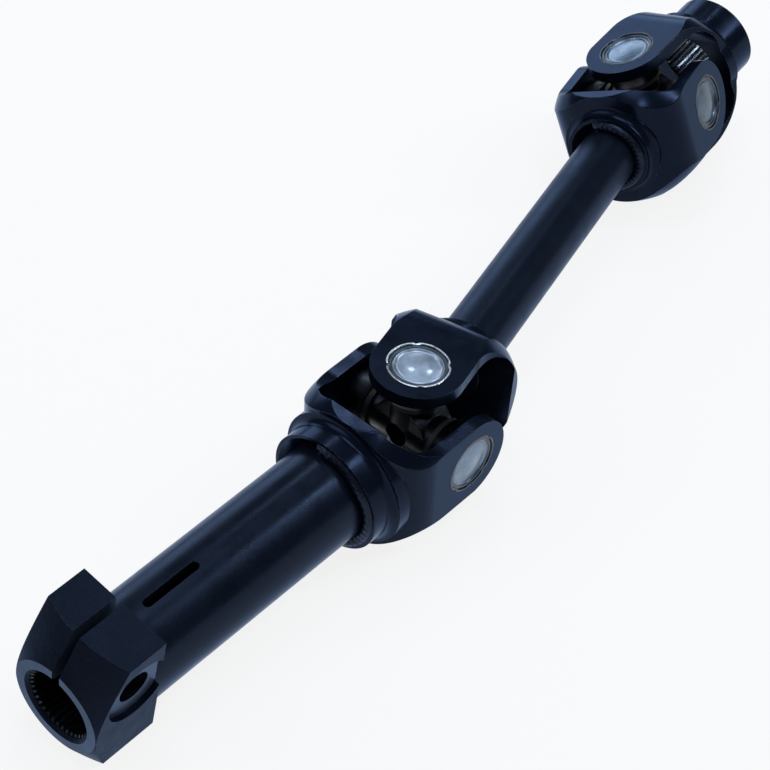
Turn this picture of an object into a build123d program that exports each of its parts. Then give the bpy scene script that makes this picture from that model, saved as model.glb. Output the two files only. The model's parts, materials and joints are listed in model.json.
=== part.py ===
"""Intermediate steering shaft: clamp head, tube, universal joint, rod, universal joint, hub.

Each rigid body is drawn in a frame of its own, with +Z along its shaft from the clamp head
towards the hub. The bodies are then chained joint by joint and laid down as the shaft rests.
"""

from math import radians, tan

from build123d import *
import os

os.makedirs("parts", exist_ok=True)

# Lengths along the shaft
head_to_joint = 117.85
joint_spacing = 152.0
hub_end = 35.7

# Clamp head
head_length = 18.8
head_half_width = 12.8
head_below = 12.6
head_above = 21.8
front_ring_radius = 12.6
front_cone_angle = 32.6
bore_radius = 9.2
bore_lead_in = 0.8
slit_width = 2.3
slit_tilt = -4.5
bolt_from_front = 11.8
bolt_above_bore = 9.6
bolt_hole_radius = 4.25
bolt_tap_radius = 3.4
spot_face_radius = 8.7
spot_face_depth = 1.5

# Tube with its relief slot
tube_radius = 12.5
slot_width = 2.4
slot_length = 17.0
slot_behind_head = 7.6
tube_wall = 2.5

# Rod and hub
rod_radius = 8.25
rod_chamfer = 0.6
hub_radius = 12.5
hub_bore_radius = 8.5
hub_lead_in = 1.0
hub_edge_chamfer = 0.8

# Pressed yokes
sheet = 3.4
ear_face = 19.4
ear_radius = 11.8
ear_straight = 9.0
web_inside = 21.4
bend_outside = 11.5
bell_radius = 22.6
collar_wall = 3.6
collar_fillet = 2.2
collar_mouth_depth = 2.4
collar_rim = 0.9
weld_crown = 1.2
weld_start = 260
weld_sweep = 250
tube_collar_length = 6.4
tube_web_radius = 19.2
rod_collar_length = 3.2
rod_web_radius = 17.0
hub_web_radius = 13.6

# Crosses and their bearings
cap_face = 19.2
cup_radius = 7.5
cup_wall = 1.2
cup_length = 8.4
cup_floor = 1.7
cup_edge_chamfer = 0.4
cup_groove_radius = 6.1
cup_groove_width = 0.7
cup_groove_depth = 0.35
roller_diameter = 2.5
roller_count = 12
running_gap = 0.02
end_gap = 0.15
seal_thickness = 1.5
seal_lip_gap = 0.06
seal_radius = 6.9
cross_core_radius = 8.6
cross_core_half = 5.2
cross_shoulder_radius = 6.0
cross_dimple_radius = 3.2
cross_dimple_depth = 1.4

# Angles of the chain as it lies, in degrees
head_roll = 9.74
lower_cross_turn = -3.78
rod_turn = -15.15
joint_phase = -24.45
upper_cross_turn = 5.70
hub_turn = 15.4

# How the shaft lies on the ground, in degrees
rest_spin = 96.209
rest_pitch = -87.387
rest_yaw = 172.128

# Sizes that follow from those above
trunnion_radius = cup_radius - cup_wall - roller_diameter - 2 * running_gap
cup_mouth = cap_face - cup_length
trunnion_end = cap_face - cup_floor - end_gap
shoulder_end = cup_mouth - seal_thickness - end_gap
roller_circle = trunnion_radius + running_gap + roller_diameter / 2
roller_length = trunnion_end - cup_mouth - 2 * end_gap
web_outside = web_inside + sheet
bend_inside = bend_outside - sheet


def clamp_block():
    """The clamp block, from its front face at Z=0 back to Z=head_length; its slit is on -Y."""
    cone_reach = head_half_width + head_above - front_ring_radius
    with BuildPart() as block:
        with BuildSketch(Plane.XY):
            with BuildLine():
                Polyline(
                    (-head_half_width, head_below),
                    (head_half_width, head_below),
                    (head_half_width, -head_above),
                    (-head_half_width, -head_above),
                    close=True,
                )
            make_face()
        extrude(amount=head_length)
        # The front is turned to a cone that leaves a flat ring round the bore
        cone_edge = (front_ring_radius + cone_reach, cone_reach * tan(radians(front_cone_angle)))
        with BuildSketch(Plane.XZ):
            with BuildLine():
                Polyline(
                    (0, 0),
                    (front_ring_radius, 0),
                    cone_edge,
                    (front_ring_radius + cone_reach, head_length),
                    (0, head_length),
                    close=True,
                )
            make_face()
        revolve(axis=Axis.Z, mode=Mode.INTERSECT)
        with BuildSketch(Plane.XY):
            Circle(bore_radius)
        extrude(amount=head_length, mode=Mode.SUBTRACT)
        with BuildSketch(Plane.XY):
            Circle(bore_radius + bore_lead_in)
        extrude(amount=bore_lead_in, taper=45, mode=Mode.SUBTRACT)
        # The slit runs from the bore out through the tall side
        slit_depth = head_above + slit_width
        with BuildSketch(Plane.XY.rotated((0, 0, slit_tilt))):
            with Locations((0, -slit_depth / 2)):
                Rectangle(slit_width, slit_depth)
        extrude(amount=head_length, mode=Mode.SUBTRACT)
        # The pinch bolt passes one half freely and is tapped into the other
        bolt_centre = (-bolt_above_bore, bolt_from_front)
        with BuildSketch(Plane.YZ):
            with Locations(bolt_centre):
                Circle(bolt_hole_radius)
        extrude(amount=head_half_width, mode=Mode.SUBTRACT)
        with BuildSketch(Plane.YZ):
            with Locations(bolt_centre):
                Circle(bolt_tap_radius)
        extrude(amount=-head_half_width, mode=Mode.SUBTRACT)
        with BuildSketch(Plane.YZ.offset(head_half_width - spot_face_depth)):
            with Locations(bolt_centre):
                Circle(spot_face_radius)
        extrude(amount=spot_face_depth, mode=Mode.SUBTRACT)
    return block


def slotted_tube():
    """The tube, from the clamp head's back face at Z=0 to the tube yoke's web."""
    length = head_to_joint - head_length - web_inside
    with BuildPart() as tube:
        with BuildSketch(Plane.XY):
            Circle(tube_radius)
            Circle(tube_radius - tube_wall, mode=Mode.SUBTRACT)
        extrude(amount=length)
        slot_middle = slot_behind_head + slot_length / 2
        with BuildSketch(Plane.XZ.rotated((0, 0, slit_tilt))):
            with Locations((0, slot_middle)):
                SlotOverall(slot_length, slot_width, rotation=90)
        extrude(amount=2 * tube_radius, mode=Mode.SUBTRACT)
    return tube


def plain_rod():
    """The solid rod, from the lower yoke's web at Z=0 to the upper yoke's web."""
    with BuildPart() as rod:
        with BuildSketch(Plane.XY):
            Circle(rod_radius)
        extrude(amount=joint_spacing - 2 * web_inside)
        chamfer(rod.edges().filter_by(GeomType.CIRCLE), rod_chamfer)
    return rod


def mouth_profile(shaft_radius, collar_end):
    """The corners of a collar's countersunk mouth, in the plane of the shaft's axis."""
    return (
        (shaft_radius, -collar_end),
        (shaft_radius + collar_wall - collar_rim, -collar_end),
        (shaft_radius, -collar_end + collar_mouth_depth),
    )


def pressed_yoke(bore, collar_radius, collar_end, web_radius):
    """A yoke pressed from sheet, with its joint centre at the origin, its collar towards -Z
    and its two ears on +X and -X."""
    with BuildPart() as yoke:
        # The sheet bent to a U, seen along the valley
        with BuildSketch(Plane.XZ):
            with BuildLine():
                inside = ear_face - sheet
                FilletPolyline(
                    (-ear_face, ear_radius),
                    (-ear_face, -web_outside),
                    (ear_face, -web_outside),
                    (ear_face, ear_radius),
                    radius=bend_outside,
                )
                FilletPolyline(
                    (-inside, ear_radius),
                    (-inside, -web_inside),
                    (inside, -web_inside),
                    (inside, ear_radius),
                    radius=bend_inside,
                )
                Line((-ear_face, ear_radius), (-inside, ear_radius))
                Line((ear_face, ear_radius), (inside, ear_radius))
            make_face()
        extrude(amount=bell_radius, both=True)
        # The outline of the blank, seen along the cap axis: round ears that flare to the web
        with BuildSketch(Plane.YZ):
            with BuildLine():
                CenterArc((0, 0), ear_radius, 0, 180)
                Line((ear_radius, 0), (ear_radius, -ear_straight))
                TangentArc(
                    (ear_radius, -ear_straight), (web_radius, -web_inside), tangent=(0, -1)
                )
                Line((web_radius, -web_inside), (web_radius, -web_outside))
                Line((web_radius, -web_outside), (-web_radius, -web_outside))
                Line((-web_radius, -web_outside), (-web_radius, -web_inside))
                TangentArc(
                    (-ear_radius, -ear_straight), (-web_radius, -web_inside), tangent=(0, -1)
                )
                Line((-ear_radius, -ear_straight), (-ear_radius, 0))
            make_face()
        extrude(amount=2 * ear_face, both=True, mode=Mode.INTERSECT)
        # The blank is round, so the pressed sheet fits inside a bell
        with BuildSketch(Plane.XZ):
            with BuildLine():
                Polyline((0, -web_outside), (0, ear_radius), (bell_radius, ear_radius))
                Line((bell_radius, ear_radius), (bell_radius, -ear_straight))
                TangentArc(
                    (bell_radius, -ear_straight), (web_radius, -web_outside), tangent=(0, -1)
                )
                Line((web_radius, -web_outside), (0, -web_outside))
            make_face()
        revolve(axis=Axis.Z, mode=Mode.INTERSECT)
        # The collar is drawn out of the web, with a round neck, and takes the shaft
        with BuildSketch(Plane.XZ):
            with BuildLine():
                Polyline(
                    (collar_radius, -web_outside - collar_fillet),
                    (collar_radius, -collar_end),
                    (0, -collar_end),
                    (0, -web_inside),
                    (collar_radius + collar_fillet, -web_inside),
                    (collar_radius + collar_fillet, -web_outside),
                )
                RadiusArc(
                    (collar_radius + collar_fillet, -web_outside),
                    (collar_radius, -web_outside - collar_fillet),
                    -collar_fillet,
                )
            make_face()
        revolve(axis=Axis.Z)
        with BuildSketch(Plane.XY.offset(-collar_end)):
            Circle(bore)
        extrude(amount=collar_end, mode=Mode.SUBTRACT)
        # The holes for the bearing cups
        with BuildSketch(Plane.YZ):
            Circle(cup_radius)
        extrude(amount=2 * ear_face, both=True, mode=Mode.SUBTRACT)
    return yoke


def shaft_yoke(shaft_radius, collar_length, web_radius):
    """A pressed yoke whose collar takes a shaft and opens in a mouth for the weld."""
    collar_end = web_outside + collar_length
    with BuildPart() as yoke:
        add(pressed_yoke(shaft_radius, shaft_radius + collar_wall, collar_end, web_radius))
        with BuildSketch(Plane.XZ):
            Polygon(*mouth_profile(shaft_radius, collar_end), align=None)
        revolve(axis=Axis.Z, mode=Mode.SUBTRACT)
    return yoke


def socket_yoke():
    """A pressed yoke whose long collar is the hub, bored for the steering column's shaft."""
    with BuildPart() as yoke:
        add(pressed_yoke(hub_bore_radius, hub_radius, hub_end, hub_web_radius))
        chamfer(yoke.edges().group_by(Axis.Z)[0].sort_by(SortBy.LENGTH)[-1], hub_edge_chamfer)
        with BuildSketch(Plane.XY.offset(-hub_end)):
            Circle(hub_bore_radius + hub_lead_in)
        extrude(amount=hub_lead_in, taper=45, mode=Mode.SUBTRACT)
    return yoke


def weld_bead(shaft_radius, collar_length):
    """The bead that fills most of the mouth of a collar and stands proud of it."""
    collar_end = web_outside + collar_length
    inner_corner, rim_corner, deep_corner = mouth_profile(shaft_radius, collar_end)
    with BuildPart() as bead:
        with BuildSketch(Plane.XZ):
            with BuildLine():
                Polyline(inner_corner, deep_corner, rim_corner)
                crown = (shaft_radius + collar_wall / 2, -collar_end - weld_crown)
                ThreePointArc(rim_corner, crown, (shaft_radius, -collar_end - weld_crown / 2))
                Line((shaft_radius, -collar_end - weld_crown / 2), inner_corner)
            make_face()
        revolve(axis=Axis.Z, revolution_arc=weld_sweep)
    return bead


def forged_cross():
    """A cross with its four trunnions along X and Y."""
    with BuildPart() as cross:
        Cylinder(cross_core_radius, 2 * cross_core_half)
        for plane in (Plane.YZ, Plane.XZ):
            with BuildSketch(plane.offset(-shoulder_end)):
                Circle(cross_shoulder_radius)
            extrude(amount=2 * shoulder_end)
            with BuildSketch(plane.offset(-trunnion_end)):
                Circle(trunnion_radius)
            extrude(amount=2 * trunnion_end)
        with Locations((0, 0, cross_core_half), (0, 0, -cross_core_half)):
            Cylinder(cross_dimple_radius, 2 * cross_dimple_depth, mode=Mode.SUBTRACT)
    return cross


def bearing_cup():
    """A cup on the +X trunnion, closed at its outer end."""
    with BuildPart() as cup:
        with BuildSketch(Plane.YZ.offset(cup_mouth)):
            Circle(cup_radius)
        extrude(amount=cup_length)
        chamfer(cup.edges().group_by(Axis.X)[-1], cup_edge_chamfer)
        with BuildSketch(Plane.YZ.offset(cup_mouth)):
            Circle(cup_radius - cup_wall)
        extrude(amount=cup_length - cup_floor, mode=Mode.SUBTRACT)
        with BuildSketch(Plane.YZ.offset(cap_face - cup_groove_depth)):
            Circle(cup_groove_radius)
            Circle(cup_groove_radius - cup_groove_width, mode=Mode.SUBTRACT)
        extrude(amount=cup_groove_depth, mode=Mode.SUBTRACT)
    return cup


def needle_rollers():
    """The rollers of one cup, round the +X trunnion."""
    with BuildPart() as rollers:
        with BuildSketch(Plane.YZ.offset(cup_mouth + end_gap)):
            with PolarLocations(roller_circle, roller_count):
                Circle(roller_diameter / 2)
        extrude(amount=roller_length)
    return rollers


def trunnion_seal():
    """The rubber ring between a cup's mouth and the cross's shoulder, on +X."""
    with BuildPart() as seal:
        with BuildSketch(Plane.YZ.offset(cup_mouth - seal_thickness)):
            Circle(seal_radius)
            Circle(trunnion_radius + seal_lip_gap, mode=Mode.SUBTRACT)
        extrude(amount=seal_thickness)
    return seal


# The chain of frames, from the tube to the hub
lay_down = Location((0, 0, 0), (0, 0, rest_yaw)) * Location((0, 0, 0), (0, rest_pitch, 0))
tube_frame = lay_down * Location((0, 0, 0), (0, 0, rest_spin))
lower_cross_frame = tube_frame * Location((0, 0, 0), (lower_cross_turn, 0, 0))
rod_frame = lower_cross_frame * Location((0, 0, 0), (0, rod_turn, 0))
rod_upper_frame = rod_frame * Location((0, 0, joint_spacing), (0, 0, joint_phase))
upper_cross_frame = rod_upper_frame * Location((0, 0, 0), (upper_cross_turn, 0, 0))
hub_frame = upper_cross_frame * Location((0, 0, 0), (0, hub_turn, 0))

# A yoke that faces back has its shaft towards +Z and its ears on the cross's other axis
facing_back = Location((0, 0, 0), (180, 0, 90))
weld_turn = Location((0, 0, 0), (0, 0, weld_start))

pieces = {}

# Lower body
head_frame = tube_frame * Location((0, 0, -head_to_joint), (0, 0, head_roll))
pieces["clamp_head"] = clamp_block().part.moved(head_frame)
tube_start = head_frame * Location((0, 0, head_length))
pieces["steering_tube"] = slotted_tube().part.moved(tube_start)
pieces["tube_yoke"] = shaft_yoke(tube_radius, tube_collar_length, tube_web_radius).part.moved(tube_frame)
pieces["tube_weld"] = weld_bead(tube_radius, tube_collar_length).part.moved(tube_frame * weld_turn)

# Middle body
rod_yoke = shaft_yoke(rod_radius, rod_collar_length, rod_web_radius).part
rod_weld = weld_bead(rod_radius, rod_collar_length).part
pieces["rod_yoke_lower"] = rod_yoke.moved(rod_frame * facing_back)
pieces["rod_weld_lower"] = rod_weld.moved(rod_frame * facing_back * weld_turn)
pieces["drive_rod"] = plain_rod().part.moved(rod_frame * Location((0, 0, web_inside)))
pieces["rod_yoke_upper"] = rod_yoke.moved(rod_upper_frame)
pieces["rod_weld_upper"] = rod_weld.moved(rod_upper_frame * weld_turn)

# Upper body
pieces["hub_yoke"] = socket_yoke().part.moved(hub_frame * facing_back)

# The crosses, each with four bearings: two in one yoke and two in the other
cross = forged_cross().part
cup = bearing_cup().part
rollers = needle_rollers().part
seal = trunnion_seal().part
for joint, cross_frame in (("lower", lower_cross_frame), ("upper", upper_cross_frame)):
    pieces[f"{joint}_cross"] = cross.moved(cross_frame)
    for number, turn in enumerate((0, 180, 90, 270), start=1):
        arm = cross_frame * Location((0, 0, 0), (0, 0, turn))
        pieces[f"{joint}_cup_{number}"] = cup.moved(arm)
        pieces[f"{joint}_rollers_{number}"] = rollers.moved(arm)
        pieces[f"{joint}_seal_{number}"] = seal.moved(arm)

# The origin is under the middle of the whole shaft, on the ground
whole = Compound(list(pieces.values())).bounding_box()
stand = Location((-whole.center().X, -whole.center().Y, -whole.min.Z))
for label, piece in pieces.items():
    placed = piece.moved(stand)
    placed.label = label
    export_step(placed, f"parts/{label}.step")
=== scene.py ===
import json
import math
import bmesh
import bpy
from mathutils import Matrix, Vector


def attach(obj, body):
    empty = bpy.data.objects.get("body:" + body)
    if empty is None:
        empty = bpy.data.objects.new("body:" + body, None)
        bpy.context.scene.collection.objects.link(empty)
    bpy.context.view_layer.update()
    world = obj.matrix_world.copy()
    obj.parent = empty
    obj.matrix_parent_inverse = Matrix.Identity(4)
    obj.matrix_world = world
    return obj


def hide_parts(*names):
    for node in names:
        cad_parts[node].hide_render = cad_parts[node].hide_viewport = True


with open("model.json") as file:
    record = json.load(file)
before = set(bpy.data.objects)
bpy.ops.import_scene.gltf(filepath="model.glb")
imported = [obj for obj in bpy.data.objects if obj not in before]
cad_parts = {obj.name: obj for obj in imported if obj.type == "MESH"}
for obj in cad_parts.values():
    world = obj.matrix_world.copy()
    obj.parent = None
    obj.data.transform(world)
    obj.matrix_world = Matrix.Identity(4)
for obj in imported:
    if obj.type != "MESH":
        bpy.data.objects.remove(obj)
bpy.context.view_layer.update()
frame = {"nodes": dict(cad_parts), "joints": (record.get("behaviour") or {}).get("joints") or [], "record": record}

MM = 0.001
record = frame["record"]
joints = {j["name"]: j for j in frame["joints"]}
mounts = {m["name"]: m for m in record["mounts"]}

# Sizes of the solids that the added pieces follow, in millimetres and degrees
HEAD_TO_JOINT = 117.85
TUBE_RADIUS = 12.5
TUBE_INSIDE = 10.0
TUBE_COLLAR_RADIUS = 16.1
TUBE_COLLAR_END = 31.2
ROD_RADIUS = 8.25
ROD_COLLAR_RADIUS = 11.85
ROD_COLLAR_END = 28.0
HUB_RADIUS = 12.5
HUB_BORE = 8.5
CLAMP_BORE = 9.2
FRONT_RING_RADIUS = 12.6
FRONT_CONE_ANGLE = 32.6
SLIT_TILT = 4.5
BOLT_FROM_FRONT = 11.8
BOLT_ABOVE_BORE = 9.6
BOLT_HOLE_RADIUS = 4.25
BOLT_TAP_RADIUS = 3.4
SPOT_FACE_RADIUS = 8.7
SPOT_FACE_LIMIT = 11.6


# Frames of the rigid bodies, read from the joints and the mounts


def axes_frame(origin, x=None, y=None, z=None):
    """A frame from two of its three axes."""
    if z is None:
        z = x.cross(y)
    elif x is None:
        x = y.cross(z)
    y = z.cross(x).normalized()
    x = y.cross(z).normalized()
    frame_matrix = Matrix((x, y, z.normalized())).transposed().to_4x4()
    frame_matrix.translation = origin
    return frame_matrix


def joint_axis(name):
    return Vector(joints[name]["axis"])


J1 = Vector(joints["lower_yoke_pivot"]["pos_m"])
J2 = Vector(joints["upper_yoke_pivot"]["pos_m"])
ROD_Z = (J2 - J1).normalized()
TUBE_Z = -Vector(mounts["pinion_clamp"]["axis"])
HUB_Z = Vector(mounts["column_bore"]["axis"])
TUBE = axes_frame(J1, x=joint_axis("lower_yoke_pivot"), z=TUBE_Z)
ROD_LOWER = axes_frame(J1, y=joint_axis("lower_spider_pivot"), z=ROD_Z)
ROD_UPPER = axes_frame(J2, x=joint_axis("upper_yoke_pivot"), z=ROD_Z)
HUB = axes_frame(J2, y=joint_axis("upper_spider_pivot"), z=HUB_Z)
LOWER_CROSS = axes_frame(J1, x=joint_axis("lower_yoke_pivot"), y=joint_axis("lower_spider_pivot"))
UPPER_CROSS = axes_frame(J2, x=joint_axis("upper_yoke_pivot"), y=joint_axis("upper_spider_pivot"))
HEAD = axes_frame(J1 - TUBE_Z * HEAD_TO_JOINT * MM, x=Vector(mounts["pinch_bolt_hole"]["axis"]), z=TUBE_Z)
FACING_BACK = Matrix.Rotation(math.pi, 4, "X") @ Matrix.Rotation(math.pi / 2, 4, "Z")


# Camera, fitted to the photograph in the tube's frame

LENS = 116.4
SENSOR = 36
CAMERA_PLACE = (261.33, -443.58, -323.29)
CAMERA_UP = (-0.4986, -0.6935, 0.5200)
CAMERA_BACK = (0.4455, -0.7196, -0.5326)


def in_tube(x, y, z):
    return TUBE.to_3x3() @ Vector((x, y, z))


camera_data = bpy.data.cameras.new("camera")
camera_data.lens = LENS
camera_data.sensor_width = SENSOR
camera = bpy.data.objects.new("camera", camera_data)
bpy.context.scene.collection.objects.link(camera)
look = axes_frame(J1 + in_tube(*CAMERA_PLACE) * MM, y=in_tube(*CAMERA_UP), z=in_tube(*CAMERA_BACK))
camera.matrix_world = look
bpy.context.scene.camera = camera


# Materials

class Nodes:
    """Short names for building a node material."""

    def __init__(self, name):
        self.material = bpy.data.materials.new(name)
        self.material.use_nodes = True
        self.tree = self.material.node_tree
        self.shader = self.tree.nodes["Principled BSDF"]
        self.at = self.new("ShaderNodeTexCoord").outputs["Object"]

    def new(self, kind, **values):
        node = self.tree.nodes.new(kind)
        for key, value in values.items():
            setattr(node, key, value)
        return node

    def link(self, source, target):
        self.tree.links.new(source, target)

    def noise(self, scale, detail=4.0, rough=0.55, stretch=None):
        node = self.new("ShaderNodeTexNoise")
        node.inputs["Scale"].default_value = scale
        node.inputs["Detail"].default_value = detail
        node.inputs["Roughness"].default_value = rough
        if stretch:
            mapping = self.new("ShaderNodeMapping")
            mapping.inputs["Scale"].default_value = stretch
            self.link(self.at, mapping.inputs["Vector"])
            self.link(mapping.outputs["Vector"], node.inputs["Vector"])
        else:
            self.link(self.at, node.inputs["Vector"])
        return node.outputs["Fac"]

    def ramp(self, source, low, high, low_value=0.0, high_value=1.0):
        node = self.new("ShaderNodeMapRange", clamp=True)
        self.link(source, node.inputs["Value"])
        ends = {"From Min": low, "From Max": high, "To Min": low_value, "To Max": high_value}
        for key, value in ends.items():
            node.inputs[key].default_value = value
        return node.outputs["Result"]

    def math(self, operation, a, b):
        node = self.new("ShaderNodeMath", operation=operation)
        for slot, value in zip(node.inputs, (a, b)):
            if isinstance(value, (int, float)):
                slot.default_value = value
            else:
                self.link(value, slot)
        return node.outputs[0]

    def mix(self, factor, a, b):
        node = self.new("ShaderNodeMix", data_type="RGBA")
        for slot, value in ((node.inputs[0], factor), (node.inputs[6], a), (node.inputs[7], b)):
            if isinstance(value, (int, float)):
                slot.default_value = value
            elif isinstance(value, tuple):
                slot.default_value = (*value, 1)
            else:
                self.link(value, slot)
        return node.outputs[2]

    def edge(self):
        """1 on the rounded edges that rounded_copy marks, and 0 elsewhere."""
        return self.new("ShaderNodeAttribute", attribute_name="edge").outputs["Fac"]

    def bump(self, height, distance, strength=1.0, below=None):
        node = self.new("ShaderNodeBump")
        node.inputs["Distance"].default_value = distance
        node.inputs["Strength"].default_value = strength
        self.link(height, node.inputs["Height"])
        if below is not None:
            self.link(below, node.inputs["Normal"])
        return node.outputs["Normal"]

    def set(self, socket, value):
        if isinstance(value, (int, float)):
            self.shader.inputs[socket].default_value = value
        elif isinstance(value, tuple):
            self.shader.inputs[socket].default_value = (*value, 1)
        else:
            self.link(value, self.shader.inputs[socket])


# Colour of the rubbed, rounded edges, light enough to be a painted highlight along each edge as well
WORN_AND_LIT_EDGE = (0.270, 0.320, 0.395)


def paint(name, dark, light, roughness, grain=0.00003, edge_wear_and_highlight=0.5, gloss=0.2, coat=0.0):
    """Blue-black paint: a cloudy colour, a fine orange peel, and rubbed edges whose light blue-grey is also a
    painted highlight along them.
    """
    n = Nodes(name)
    base = n.mix(n.ramp(n.noise(42, 5, 0.6), 0.3, 0.72), dark, light)
    base = n.mix(n.ramp(n.noise(1100, 3, 0.6), 0.60, 0.78, 0, 0.22), base, tuple(c * 2.4 for c in light))
    # Rubbed edges, whose light colour also stands in for a painted highlight along each rounded edge
    rubbed_and_lit = n.math("MULTIPLY", n.edge(), n.ramp(n.noise(160, 4, 0.7), 0.30, 0.58))
    base = n.mix(n.math("MULTIPLY", rubbed_and_lit, edge_wear_and_highlight), base, WORN_AND_LIT_EDGE)
    n.set("Base Color", base)
    n.set("Roughness", n.ramp(n.noise(150, 4, 0.6), 0.3, 0.75, roughness - 0.05, roughness + 0.08))
    peel = n.bump(n.noise(1500, 2, 0.5), grain)
    n.set("Normal", n.bump(n.noise(240, 3, 0.55), grain * 2.0, below=peel))
    n.set("Specular IOR Level", gloss)
    n.set("Specular Tint", (0.50, 0.66, 1.0))
    n.set("Metallic", 0.6)
    n.set("Coat Weight", coat)
    n.set("Coat Roughness", 0.10)
    return n.material


def steel(name, dark, light, roughness, scratch=0.00001, spots=0.4, oil=0.0):
    """Bare steel with a cloudy tone, dark spots, fine scratches and a film of oil."""
    n = Nodes(name)
    n.set("Metallic", 1.0)
    cloud = n.noise(240, 5, 0.6)
    base = n.mix(n.ramp(cloud, 0.32, 0.7), dark, light)
    base = n.mix(n.ramp(n.noise(1900, 3, 0.65), 0.64, 0.74, 0, spots), base, tuple(c * 0.35 for c in dark))
    n.set("Base Color", base)
    n.set("Roughness", n.ramp(n.noise(700, 4, 0.6), 0.3, 0.7, roughness - 0.06, roughness + 0.1))
    lines = n.noise(900, 3, 0.7, (1, 9, 1))
    n.set("Normal", n.bump(lines, scratch))
    n.set("Coat Weight", oil)
    n.set("Coat Roughness", 0.12)
    return n.material


NAVY_DARK = (0.0065, 0.0100, 0.0200)
NAVY_LIGHT = (0.0105, 0.0150, 0.0285)
PAINT = paint("blue_black_paint", NAVY_DARK, NAVY_LIGHT, 0.27, grain=0.00001, gloss=0.30)
ROD_PAINT = paint("blue_black_paint_rod", NAVY_DARK, NAVY_LIGHT, 0.34, grain=0.00001, gloss=0.30)
FORGED_PAINT = paint("blue_black_paint_forged", (0.0044, 0.0066, 0.0140), (0.0078, 0.0113, 0.0220), 0.42,
                     grain=0.00006, edge_wear_and_highlight=0.6, gloss=0.14)
# A much lighter copy of the paint for the head's flat turned faces: a painted reflection of the floor in them
TURNED_FACE_REFLECTION_PAINT = paint("blue_black_paint_turned_face_reflection", (0.040, 0.056, 0.088), (0.070, 0.094, 0.140), 0.34)
PRESSED_PAINT = paint("blue_black_paint_pressed", (0.0046, 0.0074, 0.0172), (0.0084, 0.0128, 0.0270), 0.22,
                      grain=0.000006, edge_wear_and_highlight=1.0, gloss=0.2)
WELD_PAINT = paint("blue_black_paint_weld", (0.0065, 0.0095, 0.0190), (0.0150, 0.0205, 0.0370), 0.30,
                   grain=0.00008, edge_wear_and_highlight=0.0, gloss=0.3, coat=0.05)
# The cup ends are one steel in three copies: the brightest painted as lit, the middle half lit, the darkest painted
# as shaded
BRIGHT_LIT_CAP_STEEL = steel("cap_steel", (0.29, 0.36, 0.465), (0.43, 0.51, 0.63), 0.36,
                  scratch=0.000004, spots=0.08, oil=1.0)
HALF_LIT_CAP_STEEL = steel("half_lit_cap_steel", (0.12, 0.180, 0.27), (0.20, 0.275, 0.385), 0.34,
                       scratch=0.000004, spots=0.12, oil=0.3)
SHADED_CAP_STEEL = steel("shaded_cap_steel", (0.055, 0.088, 0.130), (0.105, 0.152, 0.215), 0.32,
                       scratch=0.000004, spots=0.12, oil=0.2)
CUP_SKIRT = steel("cup_skirt", (0.014, 0.016, 0.021), (0.040, 0.044, 0.052), 0.34)
# The rims are one steel in a bright copy painted as lit and a dark copy painted as shaded
LIT_RIM_STEEL = steel("rim_steel", (0.46, 0.50, 0.55), (0.64, 0.68, 0.72), 0.26)
SHADED_RIM_STEEL = steel("shaded_rim_steel", (0.045, 0.055, 0.075), (0.10, 0.12, 0.15), 0.34)
SPLINE_STEEL = steel("spline_steel", (0.07, 0.078, 0.092), (0.17, 0.185, 0.21), 0.24)
DARK_SPLINE_STEEL = steel("dark_spline_steel", (0.018, 0.021, 0.028), (0.045, 0.050, 0.060), 0.34)
ROLLER_STEEL = steel("roller_steel", (0.55, 0.55, 0.56), (0.72, 0.72, 0.73), 0.16)
CROSS_STEEL = steel("cross_steel", (0.012, 0.014, 0.019), (0.035, 0.038, 0.046), 0.34, scratch=0.00003)


def rubber(name):
    """Black rubber with a cloudy tone and a fine grain."""
    n = Nodes(name)
    cloud = n.ramp(n.noise(320, 4, 0.6), 0.3, 0.7)
    n.set("Base Color", n.mix(cloud, (0.006, 0.006, 0.007), (0.016, 0.016, 0.018)))
    n.set("Roughness", n.ramp(n.noise(800, 3, 0.6), 0.3, 0.7, 0.5, 0.68))
    n.set("Normal", n.bump(n.noise(2400, 2, 0.5), 0.00003))
    return n.material


RUBBER = rubber("seal_rubber")


# Building helpers

def finish_mesh(bm, name, material, smooth_angle=38):
    """Makes an object from a bmesh, smooth but for edges sharper than the angle."""
    bmesh.ops.recalc_face_normals(bm, faces=bm.faces)
    limit = math.radians(smooth_angle)
    for face in bm.faces:
        face.smooth = True
    for edge in bm.edges:
        edge.smooth = not (edge.is_manifold and edge.calc_face_angle(0) > limit)
    mesh = bpy.data.meshes.new(name)
    bm.to_mesh(mesh)
    bm.free()
    mesh.materials.append(material)
    obj = bpy.data.objects.new(name, mesh)
    bpy.context.scene.collection.objects.link(obj)
    return obj


def place(obj, body):
    """Puts a piece on its rigid body."""
    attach(obj, body)
    return obj


def on_cylinder(matrix, radius, inward=False):
    """A rule that gives the true normal of a cylinder's wall."""
    back_to = matrix.inverted()
    side = -1 if inward else 1

    def rule(point, face_normal):
        local = back_to @ point
        if abs(math.hypot(local.x, local.y) - radius * MM) > 0.06 * MM:
            return None
        normal = matrix.to_3x3() @ Vector((local.x, local.y, 0)).normalized() * side
        return normal if normal.dot(face_normal) > 0.985 else None
    return rule


def on_cone(matrix, radius, angle):
    """A rule that gives the true normal of the clamp head's turned front."""
    back_to = matrix.inverted()
    rise = math.tan(math.radians(angle))

    def rule(point, face_normal):
        local = back_to @ point
        reach = math.hypot(local.x, local.y)
        if abs(local.z - (reach - radius * MM) * rise) > 0.08 * MM:
            return None
        normal = Vector((local.x / reach * rise, local.y / reach * rise, -1)).normalized()
        normal = matrix.to_3x3() @ normal
        return normal if normal.dot(face_normal) > 0.97 else None
    return rule


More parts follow.
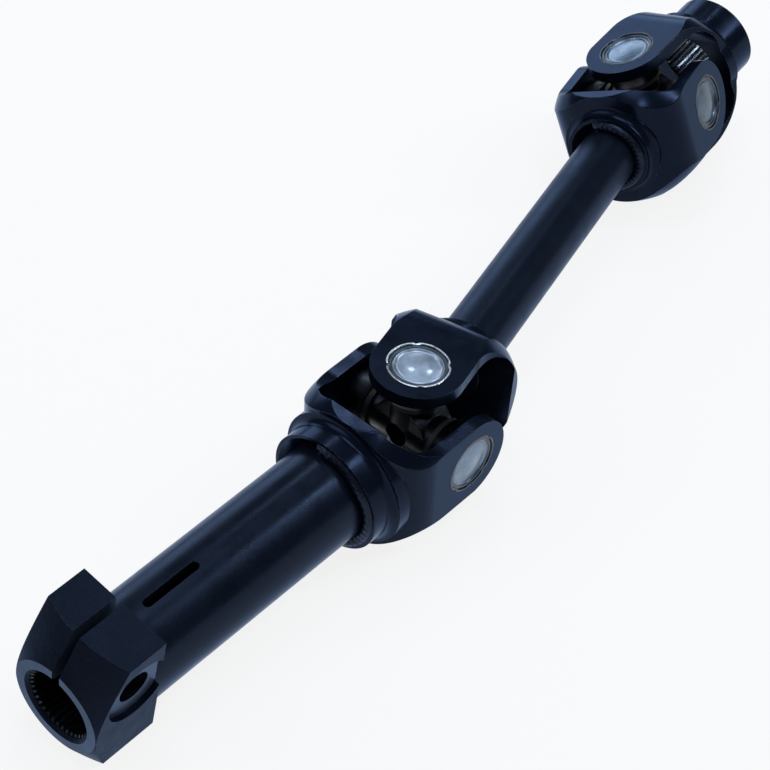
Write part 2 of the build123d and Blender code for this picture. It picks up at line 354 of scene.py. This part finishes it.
def true_normals(obj, rules):
    """Replaces the normals on long facets by those of the surface that they stand for."""
    mesh = obj.data
    normals = [Vector(n.vector) for n in mesh.corner_normals]
    for polygon in mesh.polygons:
        for index in polygon.loop_indices:
            point = mesh.vertices[mesh.loops[index].vertex_index].co
            for rule in rules:
                better = rule(point, polygon.normal)
                if better is not None:
                    normals[index] = better
                    break
    mesh.normals_split_custom_set([tuple(n) for n in normals])


def weight_normals(obj):
    """Large faces keep their own direction, so that only the rounded edges catch the light."""
    modifier = obj.modifiers.new("weighted_normals", "WEIGHTED_NORMAL")
    modifier.weight = 100
    modifier.keep_sharp = True
    graph = bpy.context.evaluated_depsgraph_get()
    mesh = bpy.data.meshes.new_from_object(obj.evaluated_get(graph))
    mesh.name = obj.name
    obj.modifiers.clear()
    obj.data = mesh


def rounded_copy(node, name, body, material, width, angle=40, segments=2, rules=(), patch=None):
    """The CAD node with its sharp edges rounded by a bevel of this width, in millimetres."""
    bm = bmesh.new()
    source = frame["nodes"][node]
    bm.from_mesh(source.data)
    bmesh.ops.remove_doubles(bm, verts=bm.verts, dist=1e-6)
    bmesh.ops.dissolve_limit(bm, angle_limit=math.radians(0.4), verts=bm.verts, edges=bm.edges)
    bmesh.ops.recalc_face_normals(bm, faces=bm.faces)
    sharp = [e for e in bm.edges if e.is_manifold and e.calc_face_angle(0) > math.radians(angle)]
    layer = bm.faces.layers.float.new("edge")
    if width:
        made = bmesh.ops.bevel(bm, geom=sharp, offset=width * MM, offset_type="OFFSET", segments=segments,
                               profile=0.5, affect="EDGES", clamp_overlap=True, loop_slide=True)
        for face in made["faces"]:
            face[layer] = 1.0
    obj = finish_mesh(bm, name, material, 50)
    weight_normals(obj)
    if rules:
        true_normals(obj, rules)
    if patch:
        inside, other = patch
        obj.data.materials.append(other)
        for polygon in obj.data.polygons:
            polygon.material_index = 1 if inside(polygon.center, polygon.normal) else 0
    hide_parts(node)
    return place(obj, body)


def lathe(name, profile, matrix, material, steps=96, sweep=360, shift=None):
    """Turns (radius, height) points in millimetres about the Z axis of a frame."""
    bm = bmesh.new()
    full = sweep >= 360
    rings = []
    count = steps if full else steps + 1
    for i in range(count):
        turn = math.radians(sweep) * i / steps
        ring = []
        for k, (radius, height) in enumerate(profile):
            r, h = (radius, height) if shift is None else shift(i, k, radius, height)
            point = Vector((r * math.cos(turn), r * math.sin(turn), h)) * MM
            ring.append(bm.verts.new(matrix @ point))
        rings.append(ring)
    last = len(profile) - 1
    for i in range(count if full else count - 1):
        a, b = rings[i], rings[(i + 1) % count]
        for k in range(last):
            bm.faces.new((a[k], b[k], b[k + 1], a[k + 1]))
    bmesh.ops.remove_doubles(bm, verts=bm.verts, dist=1e-7)
    if not full:
        for ring in (rings[0], rings[-1]):
            loop = [v for v in ring if v.is_valid]
            if len(loop) > 2:
                bm.faces.new(loop)
    return finish_mesh(bm, name, material, 45)


# Painted bodies and crosses

SQUARE_ON = 0.97


def turned_face(point, normal):
    """The flat ring at the mouth of the bore, and the spot face under the bolt's head, which take a lighter paint
    as a painted reflection of the floor.
    """
    local = HEAD.inverted() @ point / MM
    facing = HEAD.to_3x3().transposed() @ normal
    if facing.z < -SQUARE_ON and local.z < 0.4:
        return True
    from_bolt = math.hypot(local.y + BOLT_ABOVE_BORE, local.z - BOLT_FROM_FRONT)
    return facing.x > SQUARE_ON and from_bolt < SPOT_FACE_RADIUS + 0.1 and local.x < SPOT_FACE_LIMIT


rounded_copy("clamp_head", "forged_clamp_head", "gear_side", FORGED_PAINT, 0.35,
             rules=(on_cone(HEAD, FRONT_RING_RADIUS, FRONT_CONE_ANGLE), on_cylinder(HEAD, CLAMP_BORE, inward=True)),
             patch=(turned_face, TURNED_FACE_REFLECTION_PAINT))
rounded_copy("steering_tube", "painted_tube", "gear_side", PAINT, 0.2,
             rules=(on_cylinder(TUBE, TUBE_RADIUS), on_cylinder(TUBE, TUBE_INSIDE, inward=True)))
for node, name, body, matrix, collar in (
        ("tube_yoke", "pressed_tube_yoke", "gear_side", TUBE, TUBE_COLLAR_RADIUS),
        ("rod_yoke_lower", "pressed_lower_rod_yoke", "middle", ROD_LOWER, ROD_COLLAR_RADIUS),
        ("rod_yoke_upper", "pressed_upper_rod_yoke", "middle", ROD_UPPER, ROD_COLLAR_RADIUS),
        ("hub_yoke", "pressed_hub_yoke", "column_side", HUB, HUB_RADIUS)):
    rounded_copy(node, name, body, PRESSED_PAINT, 0.4, rules=(on_cylinder(matrix, collar),))
rounded_copy("drive_rod", "painted_rod", "middle", ROD_PAINT, 0.0,
             rules=(on_cylinder(ROD_LOWER, ROD_RADIUS),))

for cross, body in (("lower_cross", "lower_spider"), ("upper_cross", "upper_spider")):
    rounded_copy(cross, f"forged_{cross}", body, CROSS_STEEL, 0.25, angle=25)


# Bearing cups, each with its slightly domed end, and the rim that is staked over it.
# The profiles are radius and height along the cup's own arm of the cross.

CUP_PROFILE = ((6.3, 12.4), (6.3, 11.0), (6.5, 10.8), (7.3, 10.8), (7.5, 11.0), (7.5, 18.85), (7.42, 19.04),
               (7.22, 19.16), (6.95, 19.2), (6.55, 19.2), (6.4, 19.1), (6.3, 18.9), (6.1, 18.86), (5.95, 18.98),
               (5.8, 19.02), (5.65, 18.90), (5.5, 18.72), (5.3, 18.66), (5.0, 18.70), (4.3, 18.84), (3.5, 18.97),
               (2.6, 19.08), (1.7, 19.15), (0.8, 19.19), (0.0, 19.20))
RIM_PROFILE = ((7.45, 19.05), (7.40, 19.32), (7.46, 19.44), (7.58, 19.50), (7.76, 19.50), (7.90, 19.42),
               (7.94, 19.25))
CAP_END_HEIGHT = 18.5
CAP_END_RADIUS = 6.2
CUP_STEPS = 72
RIM_STEPS = 96
STAKES = 4


def show_end(cup, arm, material):
    """The cup's end is bare steel in the painted lit or shaded copy given; its rounded corner takes the shaded rim
    copy, and its skirt inside the joint is dark.
    """
    cup.data.materials.append(material)
    cup.data.materials.append(SHADED_RIM_STEEL)
    back_to = arm.inverted()
    for polygon in cup.data.polygons:
        local = back_to @ polygon.center / MM
        if local.z > CAP_END_HEIGHT:
            polygon.material_index = 1 if math.hypot(local.x, local.y) < CAP_END_RADIUS else 2


def staked(i, k, radius, height):
    """Four short stretches of the rim are pressed in over the cup."""
    turn = (i / RIM_STEPS * STAKES) % 1
    press = max(0.0, math.cos((turn - 0.5) * 2 * math.pi * 2.2)) if abs(turn - 0.5) < 0.114 else 0.0
    inner = max(0.0, 1 - k / 4)
    return radius - 0.42 * press * inner, height - 0.12 * press * (1 if 1 <= k <= 5 else 0)


# The ends of cups 1 and 2, and of cups 3 and 4: copies of one steel, painted lighter or darker for the light on
# each cup's end
CAP_LIT_AND_SHADED = {"lower": (HALF_LIT_CAP_STEEL, BRIGHT_LIT_CAP_STEEL), "upper": (SHADED_CAP_STEEL, HALF_LIT_CAP_STEEL)}

for joint, cross, owners in (("lower", LOWER_CROSS, ("gear_side", "middle")),
                             ("upper", UPPER_CROSS, ("middle", "column_side"))):
    for number, turn in enumerate((0, 180, 90, 270), start=1):
        body = owners[0] if number < 3 else owners[1]
        arm = cross @ Matrix.Rotation(math.radians(turn), 4, "Z") @ Matrix.Rotation(math.pi / 2, 4, "Y")
        cup = lathe(f"{joint}_bearing_cap_{number}", CUP_PROFILE, arm, CUP_SKIRT, CUP_STEPS)
        show_end(cup, arm, CAP_LIT_AND_SHADED[joint][number > 2])
        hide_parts(f"{joint}_cup_{number}")
        place(cup, body)
        # Only the lower joint's cups 3 and 4 get the painted lit rim; the others get the painted shaded copy
        rim_steel = LIT_RIM_STEEL if joint == "lower" and number > 2 else SHADED_RIM_STEEL
        rim = lathe(f"{joint}_staked_rim_{number}", RIM_PROFILE, arm, rim_steel, RIM_STEPS, shift=staked)
        place(rim, body)


# Weld beads with their ripples. Each fills the ring between a shaft and its collar's mouth.

WELD_START = 260
WELD_SWEEP = 250
WELD_STEPS = 240
WELD_RIPPLES = 30
WELD_WIDTH = 2.7
WELD_DEPTH = 2.4
WELD_CROWN = 1.15
CROWN_POINTS = 8
WELD_END_STEPS = 12


def weld(name, node, body, matrix, shaft, collar_end):
    """The bead in a collar's mouth; the profile follows the solid, the crown is rippled."""
    profile = [(shaft, -collar_end + WELD_DEPTH), (shaft + WELD_WIDTH, -collar_end)]
    for k in range(1, CROWN_POINTS):
        t = k / CROWN_POINTS
        crown = WELD_CROWN * math.sin(math.pi * (0.12 + 0.76 * t)) ** 0.8
        profile.append((shaft + WELD_WIDTH * (1 - t), -collar_end - crown))
    profile += [(shaft, -collar_end - 0.4), (shaft, -collar_end + WELD_DEPTH)]

    def rippled(i, k, radius, height):
        """Scales that lean along the bead, a slow unevenness, and ends that sink away."""
        if k < 2 or k > CROWN_POINTS:
            return radius, height
        t = (k - 1) / CROWN_POINTS
        phase = (i / WELD_STEPS * WELD_RIPPLES + 0.9 * math.sin(math.pi * t)) % 1
        scale = 0.30 * (phase ** 1.5) - 0.12
        uneven = 0.16 * math.sin(i * 0.137 + shaft) + 0.1 * math.sin(i * 0.061 + 1.3 * shaft)
        end = min(1.0, i / WELD_END_STEPS, (WELD_STEPS - i) / WELD_END_STEPS)
        drop = (scale + uneven) * math.sin(math.pi * t) * end - 0.7 * (1 - end)
        return radius, height - drop

    start = matrix @ Matrix.Rotation(math.radians(WELD_START), 4, "Z")
    bead = lathe(name, profile, start, WELD_PAINT, WELD_STEPS, WELD_SWEEP, rippled)
    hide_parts(node)
    place(bead, body)


weld("tube_weld_bead", "tube_weld", "gear_side", TUBE, TUBE_RADIUS, TUBE_COLLAR_END)
weld("lower_rod_weld_bead", "rod_weld_lower", "middle", ROD_LOWER @ FACING_BACK, ROD_RADIUS, ROD_COLLAR_END)
weld("upper_rod_weld_bead", "rod_weld_upper", "middle", ROD_UPPER, ROD_RADIUS, ROD_COLLAR_END)


# Splines in the clamp's bore and in the hub's bore

def splines(name, body, material, matrix, radius, depth, count, low, high, gap=None):
    """Spline teeth on a bore's wall. gap(angle) gives the stretch of a tooth that is cut away."""
    bm = bmesh.new()
    half = math.pi / count
    for i in range(count):
        middle = 2 * math.pi * i / count
        cut = gap(middle) if gap else None
        if cut == "all":
            continue
        stretches = [(low, high)] if cut is None else [(low, cut[0]), (cut[1], high)]
        for start, end in stretches:
            if end - start < 0.8:
                continue
            rings = []
            for z, sink in ((start, depth * 0.8), (start + 0.5, 0), (end - 0.5, 0), (end, depth * 0.8)):
                tip = radius - depth + sink
                ring = [(radius + 0.04, middle - half * 0.86), (tip, middle - half * 0.36),
                        (tip, middle + half * 0.36), (radius + 0.04, middle + half * 0.86)]
                points = [Vector((r * math.cos(a), r * math.sin(a), z)) * MM for r, a in ring]
                rings.append([bm.verts.new(matrix @ point) for point in points])
            for a, b in zip(rings, rings[1:]):
                for k in range(4):
                    bm.faces.new((a[k], a[(k + 1) % 4], b[(k + 1) % 4], b[k]))
            bm.faces.new(rings[0])
            bm.faces.new(rings[-1])
    return place(finish_mesh(bm, name, material, 30), body)


def bolt_notch(angle):
    """The pinch bolt's hole and the slit interrupt the splines."""
    x, y = CLAMP_BORE * math.cos(angle), CLAMP_BORE * math.sin(angle)
    if y < 0 and abs(x + CLAMP_BORE * math.sin(math.radians(SLIT_TILT))) < 2.0:
        return "all"
    reach = BOLT_HOLE_RADIUS ** 2 - (y + BOLT_ABOVE_BORE) ** 2
    if reach <= 0:
        return None
    half_gap = math.sqrt(reach) + 0.1
    return BOLT_FROM_FRONT - half_gap, BOLT_FROM_FRONT + half_gap


splines("pinion_splines", "gear_side", DARK_SPLINE_STEEL, HEAD, CLAMP_BORE, depth=0.62, count=36,
        low=1.0, high=18.6, gap=bolt_notch)
splines("column_splines", "column_side", SPLINE_STEEL, HUB, HUB_BORE, depth=0.6, count=34, low=21.6, high=34.4)


# The thread of the pinch bolt's hole

THREAD_PITCH = 1.25
THREAD_DEPTH = 0.26
THREAD_START = -2.2
THREAD_ROOT = BOLT_TAP_RADIUS + 0.02
THREAD_TURNS = 8
STEPS_PER_TURN = 40
STEPS_TO_FULL_DEPTH = 20

bm = bmesh.new()
previous = None
steps = THREAD_TURNS * STEPS_PER_TURN
for i in range(steps + 1):
    angle = 2 * math.pi * i / STEPS_PER_TURN
    along = THREAD_START - THREAD_PITCH * i / STEPS_PER_TURN
    grow = min(1.0, i / STEPS_TO_FULL_DEPTH, (steps - i) / STEPS_TO_FULL_DEPTH)
    section = []
    for radius, shift in ((THREAD_ROOT, -0.5), (THREAD_ROOT - THREAD_DEPTH * grow, 0.0), (THREAD_ROOT, 0.5)):
        point = Vector((along + shift, radius * math.cos(angle) - BOLT_ABOVE_BORE,
                        radius * math.sin(angle) + BOLT_FROM_FRONT))
        section.append(bm.verts.new(HEAD @ (point * MM)))
    if previous:
        for k in range(2):
            bm.faces.new((previous[k], section[k], section[k + 1], previous[k + 1]))
        bm.faces.new((previous[2], section[2], section[0], previous[0]))
    previous = section
place(finish_mesh(bm, "pinch_bolt_threads", DARK_SPLINE_STEEL, 30), "gear_side")


# Rollers and seals keep their own solids

for node, obj in frame["nodes"].items():
    for part_of_name, finish in (("_rollers_", ROLLER_STEEL), ("_seal_", RUBBER)):
        if part_of_name in node:
            obj.data.materials.clear()
            obj.data.materials.append(finish)


# Floor, light and the world

FLOOR_SIZE = 4.0
FLOOR_GLOW_SHARE = 0.85
COOL_WHITE = (0.80, 0.90, 1.0)
WORLD_STRENGTH = 0.18


def floor_material():
    """A pale floor that keeps shadows, and that the camera and metal see as white."""
    material = bpy.data.materials.new("pale_floor")
    material.use_nodes = True
    tree = material.node_tree
    shader = tree.nodes["Principled BSDF"]
    output = tree.nodes["Material Output"]
    noise = tree.nodes.new("ShaderNodeTexNoise")
    noise.inputs["Scale"].default_value = 30
    ramp = tree.nodes.new("ShaderNodeMapRange")
    ramp.inputs["To Min"].default_value = 0.90
    ramp.inputs["To Max"].default_value = 0.93
    tree.links.new(noise.outputs["Fac"], ramp.inputs["Value"])
    tree.links.new(ramp.outputs["Result"], shader.inputs["Base Color"])
    shader.inputs["Roughness"].default_value = 0.7
    shader.inputs["Specular IOR Level"].default_value = 0.2
    glow = tree.nodes.new("ShaderNodeEmission")
    glow.inputs["Strength"].default_value = 1.0
    path = tree.nodes.new("ShaderNodeLightPath")
    seen = path.outputs["Is Camera Ray"]
    for kind in ("Is Glossy Ray", "Is Transmission Ray"):
        either = tree.nodes.new("ShaderNodeMath")
        either.operation = "MAXIMUM"
        tree.links.new(seen, either.inputs[0])
        tree.links.new(path.outputs[kind], either.inputs[1])
        seen = either.outputs[0]
    share = tree.nodes.new("ShaderNodeMath")
    share.operation = "MULTIPLY"
    share.inputs[1].default_value = FLOOR_GLOW_SHARE
    tree.links.new(seen, share.inputs[0])
    mix = tree.nodes.new("ShaderNodeMixShader")
    tree.links.new(share.outputs[0], mix.inputs["Fac"])
    tree.links.new(shader.outputs[0], mix.inputs[1])
    tree.links.new(glow.outputs[0], mix.inputs[2])
    tree.links.new(mix.outputs[0], output.inputs["Surface"])
    return material


bm = bmesh.new()
bmesh.ops.create_grid(bm, x_segments=8, y_segments=8, size=FLOOR_SIZE)
floor = finish_mesh(bm, "floor", floor_material())

world = bpy.data.worlds.new("soft_room")
bpy.context.scene.world = world
world.use_nodes = True
background = world.node_tree.nodes["Background"]
background.inputs["Color"].default_value = (*COOL_WHITE, 1)
background.inputs["Strength"].default_value = WORLD_STRENGTH


def area_light(name, place_at, aim_at, size, size_y, power):
    """A rectangular lamp, in metres and watts, that faces a point."""
    data = bpy.data.lights.new(name, "AREA")
    data.shape = "RECTANGLE"
    data.size = size
    data.size_y = size_y
    data.energy = power
    data.color = COOL_WHITE
    obj = bpy.data.objects.new(name, data)
    bpy.context.scene.collection.objects.link(obj)
    obj.location = place_at
    obj.rotation_euler = (Vector(place_at) - Vector(aim_at)).to_track_quat("Z", "Y").to_euler()
    return obj


def from_camera(right, up, back):
    """A direction given along the camera's own axes."""
    return look.to_3x3() @ Vector((right, up, back)).normalized()


centre = (J1 + J2) / 2
area_light("soft_top", (centre.x, centre.y, 1.3), centre, 0.6, 0.6, 4.1)
area_light("soft_back_left", centre + from_camera(-0.30, 0.80, -0.46) * 1.1, centre, 1.0, 0.45, 3.0)
area_light("soft_front_left", centre + from_camera(-0.80, 0.35, 0.50) * 1.1, centre, 0.6, 0.6, 2.1)

# Two small lamps, which the lower joint's upper cup mirrors towards the camera
cap_facing = LOWER_CROSS.to_3x3() @ Vector((0, 1, 0))
to_camera = (camera.matrix_world.translation - J1).normalized()
if cap_facing.dot(to_camera) < 0:
    cap_facing = -cap_facing
mirrored = 2 * cap_facing.dot(to_camera) * cap_facing - to_camera
camera_right, camera_back = look.col[0].to_3d(), look.col[2].to_3d()
tip = Matrix.Rotation(math.radians(6), 3, camera_right)
for side, lean in (("left", 5.5), ("right", -9.5)):
    aside = Matrix.Rotation(math.radians(lean), 3, camera_back) @ tip
    area_light(f"small_lamp_{side}", J1 + aside @ mirrored * 1.1, J1, 0.07, 0.07, 0.42)

# A narrow lamp that draws the light line along the tube, and one beside the camera
area_light("soft_streak", centre + from_camera(0.711, 0.553, 0.431) * 1.2, centre, 0.06, 0.55, 3.4)
area_light("near_camera", centre + from_camera(0.20, 0.42, 0.88) * 1.2, centre, 0.07, 0.20, 1.3)

bpy.context.scene.view_settings.view_transform = "Standard"
